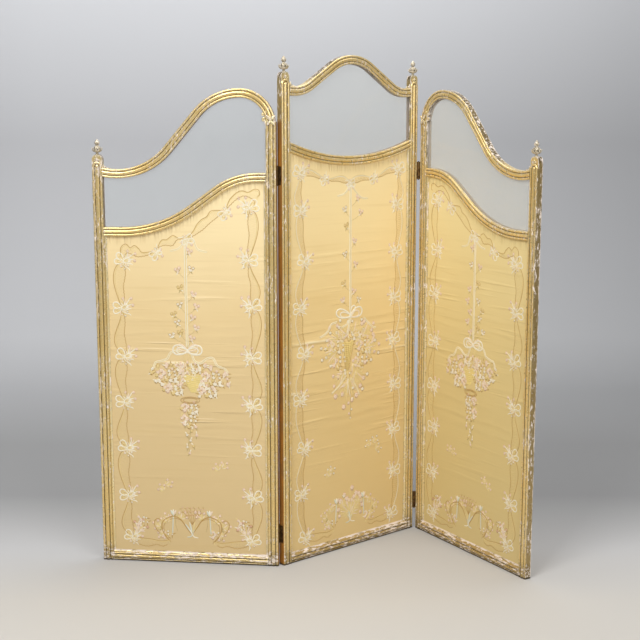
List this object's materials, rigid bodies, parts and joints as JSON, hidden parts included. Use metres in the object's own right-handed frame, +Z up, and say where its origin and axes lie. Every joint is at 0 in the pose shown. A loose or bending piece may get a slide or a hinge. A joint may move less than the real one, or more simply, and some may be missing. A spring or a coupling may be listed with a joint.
{
  "type": "folding screen",
  "caption": "Giltwood folding screen with reeded, shaped frames, glazed upper lights and embroidered silk panels, whose wings fold flat on butt hinges.",
  "frame": {"origin": "on the floor, under the middle of the centre panel", "axes": "+X along the centre panel to the right as seen from the front, +Y to the back, +Z up"},
  "size_m": [1.1278, 1.1294, 1.7905],
  "materials": {
    "gilt_wood": "water gilding over gesso and bole, worn at the arrises",
    "bare_wood": "bare, darkened with age",
    "light_glass": "clear, polished",
    "silk": "gold satin with silk embroidery",
    "lining_cloth": "plain cotton weave",
    "hinge_metal": "dark patina, rubbed bright at the edges"
  },
  "bodies": {
    "centre": {"centre_bottom_rail": "gilt_wood", "centre_glass": "light_glass", "centre_left_bead": "bare_wood", "centre_left_finial": "gilt_wood", "centre_left_post": "gilt_wood", "centre_lining": "lining_cloth", "centre_middle_rail": "gilt_wood", "centre_right_bead": "bare_wood", "centre_right_finial": "gilt_wood", "centre_right_post": "gilt_wood", "centre_screws": "hinge_metal", "centre_silk": "silk", "centre_sill_bead": "bare_wood", "centre_strainer": "bare_wood", "centre_top_bead": "bare_wood", "centre_top_rail": "gilt_wood", "left_joint_lower_centre_leaf": "hinge_metal", "left_joint_lower_pin": "hinge_metal", "left_joint_upper_centre_leaf": "hinge_metal", "left_joint_upper_pin": "hinge_metal", "right_joint_lower_centre_leaf": "hinge_metal", "right_joint_lower_pin": "hinge_metal", "right_joint_upper_centre_leaf": "hinge_metal", "right_joint_upper_pin": "hinge_metal"},
    "left_wing": {"left_joint_lower_wing_leaf": "hinge_metal", "left_joint_upper_wing_leaf": "hinge_metal", "left_wing_bottom_rail": "gilt_wood", "left_wing_finial": "gilt_wood", "left_wing_glass": "light_glass", "left_wing_hinge_stile": "gilt_wood", "left_wing_inner_bead": "bare_wood", "left_wing_lining": "lining_cloth", "left_wing_middle_rail": "gilt_wood", "left_wing_outer_bead": "bare_wood", "left_wing_post": "gilt_wood", "left_wing_screws": "hinge_metal", "left_wing_silk": "silk", "left_wing_sill_bead": "bare_wood", "left_wing_strainer": "bare_wood", "left_wing_top_bead": "bare_wood", "left_wing_top_rail": "gilt_wood"},
    "right_wing": {"right_joint_lower_wing_leaf": "hinge_metal", "right_joint_upper_wing_leaf": "hinge_metal", "right_wing_bottom_rail": "gilt_wood", "right_wing_finial": "gilt_wood", "right_wing_glass": "light_glass", "right_wing_hinge_stile": "gilt_wood", "right_wing_inner_bead": "bare_wood", "right_wing_lining": "lining_cloth", "right_wing_middle_rail": "gilt_wood", "right_wing_outer_bead": "bare_wood", "right_wing_post": "gilt_wood", "right_wing_screws": "hinge_metal", "right_wing_silk": "silk", "right_wing_sill_bead": "bare_wood", "right_wing_strainer": "bare_wood", "right_wing_top_bead": "bare_wood", "right_wing_top_rail": "gilt_wood"}
  },
  "joints": [
    {"name": "left_wing_fold", "type": "hinge", "parent": "centre", "child": "left_wing", "pos_m": [-0.3195, 0.014, 0.114], "axis": [0, 0, -1], "range_deg": [-46.3, 132.2]},
    {"name": "right_wing_fold", "type": "hinge", "parent": "centre", "child": "right_wing", "pos_m": [0.3195, -0.0175, 0.114], "axis": [0, 0, -1], "range_deg": [-98, 82]}
  ]
}
